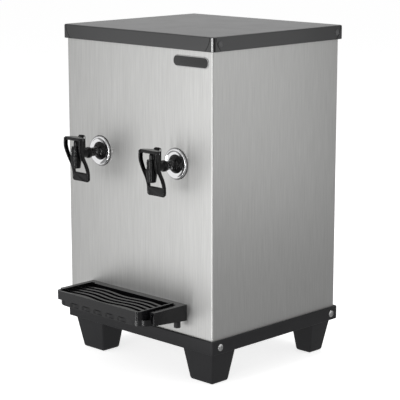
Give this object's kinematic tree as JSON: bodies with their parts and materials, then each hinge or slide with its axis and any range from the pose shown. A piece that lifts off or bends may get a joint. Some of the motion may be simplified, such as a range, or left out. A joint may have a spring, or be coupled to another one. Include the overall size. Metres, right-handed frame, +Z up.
{
  "type": "countertop water cooler",
  "caption": "Countertop water cooler with a brushed steel casing, dark lid, push-back lever taps on chrome escutcheons and a pull-out drip tray under a wavy grille.",
  "frame": {"origin": "on the surface under the feet, at the centre of the whole cooler's box", "axes": "+Z up, -Y the way the taps face, +X to the right of someone who looks at the taps"},
  "size_m": [0.3122, 0.369, 0.4967],
  "materials": {
    "brushed_stainless": "fine vertical brushing",
    "grey_paint": "dark grey semi-gloss enamel",
    "black_plastic": "moulded black, satin",
    "badge": "bare gloss black plate",
    "bright_screw": "zinc plated",
    "chrome": "polished",
    "zinc_sheet": "galvanised sheet",
    "aluminium": "mill finish",
    "white_plastic": "natural moulded plastic",
    "foam": "expanded foam",
    "brass": "machined",
    "copper": "drawn copper",
    "rubber": "black rubber",
    "clear_hose": "milky silicone",
    "black_enamel": "black enamel"
  },
  "bodies": {
    "cooler": {"back_panel": "zinc_sheet", "back_panel_screws": "bright_screw", "badge_plate": "badge", "base_frame": "black_plastic", "base_plate": "zinc_sheet", "base_screws": "bright_screw", "casing_wrap": "brushed_stainless", "compressor": "black_enamel", "compressor_mounts": "rubber", "condenser": "aluminium", "evaporator_jacket": "aluminium", "fan_motor": "black_enamel", "fan_shroud": "zinc_sheet", "filter_drier": "copper", "float_valve": "brass", "foot_bolts": "bright_screw", "foot_front_left": "black_plastic", "foot_front_right": "black_plastic", "foot_rear_left": "black_plastic", "foot_rear_right": "black_plastic", "inlet_tube": "clear_hose", "left_escutcheon": "chrome", "left_tap_body": "black_plastic", "left_tap_bonnet": "black_plastic", "left_tap_spring": "bright_screw", "lever_pins": "bright_screw", "lid": "grey_paint", "lid_screws": "grey_paint", "mains_inlet": "black_plastic", "mains_pins": "bright_screw", "refrigerant_tubes": "copper", "right_escutcheon": "chrome", "right_tap_body": "black_plastic", "right_tap_bonnet": "black_plastic", "right_tap_spring": "bright_screw", "tank": "brushed_stainless", "tank_cover": "white_plastic", "tank_insulation": "foam", "tank_shelf": "zinc_sheet", "tap_back_nuts": "black_plastic", "tap_elbows": "black_plastic", "tap_gaskets": "rubber", "tap_hoses": "clear_hose", "thermostat": "black_plastic", "tray_housing": "black_plastic", "tray_pegs": "black_plastic", "tray_screws": "bright_screw", "water_inlet": "brass", "water_inlet_nut": "brass"},
    "left_lever": {"left_tap_lever": "black_plastic"},
    "right_lever": {"right_tap_lever": "black_plastic"},
    "left_stem": {"left_tap_stem": "black_plastic", "left_valve_seal": "rubber"},
    "right_stem": {"right_tap_stem": "black_plastic", "right_valve_seal": "rubber"},
    "pan": {"drip_pan": "black_plastic"},
    "grille": {"drip_grille": "black_plastic"},
    "float": {"float_arm": "white_plastic"},
    "fan": {"fan_rotor": "black_plastic"},
    "knob": {"thermostat_knob": "black_plastic"}
  },
  "joints": [
    {"name": "left_lever_swing", "type": "hinge", "parent": "cooler", "child": "left_lever", "pos_m": [-0.079, -0.137, 0.3382], "axis": [1, 0, 0], "range_deg": [0, 8], "stiffness_Nm_per_rad": 1, "springref_deg": -6.88},
    {"name": "left_stem_push", "type": "slide", "parent": "cooler", "child": "left_stem", "axis": [0, 0, -1], "range_m": [0, 0.0017], "deforming": ["left_tap_spring"]},
    {"name": "right_lever_swing", "type": "hinge", "parent": "cooler", "child": "right_lever", "pos_m": [0.079, -0.137, 0.3382], "axis": [1, 0, 0], "range_deg": [0, 8], "stiffness_Nm_per_rad": 1, "springref_deg": -6.88},
    {"name": "right_stem_push", "type": "slide", "parent": "cooler", "child": "right_stem", "axis": [0, 0, -1], "range_m": [0, 0.0017], "deforming": ["right_tap_spring"]},
    {"name": "pan_draw", "type": "slide", "parent": "cooler", "child": "pan", "axis": [0, -1, 0], "range_m": [0, 0.06]},
    {"name": "grille_lift", "type": "slide", "parent": "pan", "child": "grille", "axis": [0, 0, 1], "range_m": [0, 0.03]},
    {"name": "float_rise", "type": "hinge", "parent": "cooler", "child": "float", "pos_m": [-0.06, 0.077, 0.4195], "axis": [-1, 0, 0], "range_deg": [0, 20]},
    {"name": "fan_spin", "type": "hinge", "parent": "cooler", "child": "fan", "pos_m": [0.076, 0.1115, 0.1346], "axis": [0, 1, 0], "continuous": true},
    {"name": "knob_turn", "type": "hinge", "parent": "cooler", "child": "knob", "pos_m": [0.114, 0.1665, 0.392], "axis": [0, 1, 0], "range_deg": [0, 270]}
  ],
  "couplings": [
    {"joint": "left_stem_push", "follows": "left_lever_swing", "m_per_rad": 0.0118},
    {"joint": "right_stem_push", "follows": "right_lever_swing", "m_per_rad": 0.0118}
  ]
}
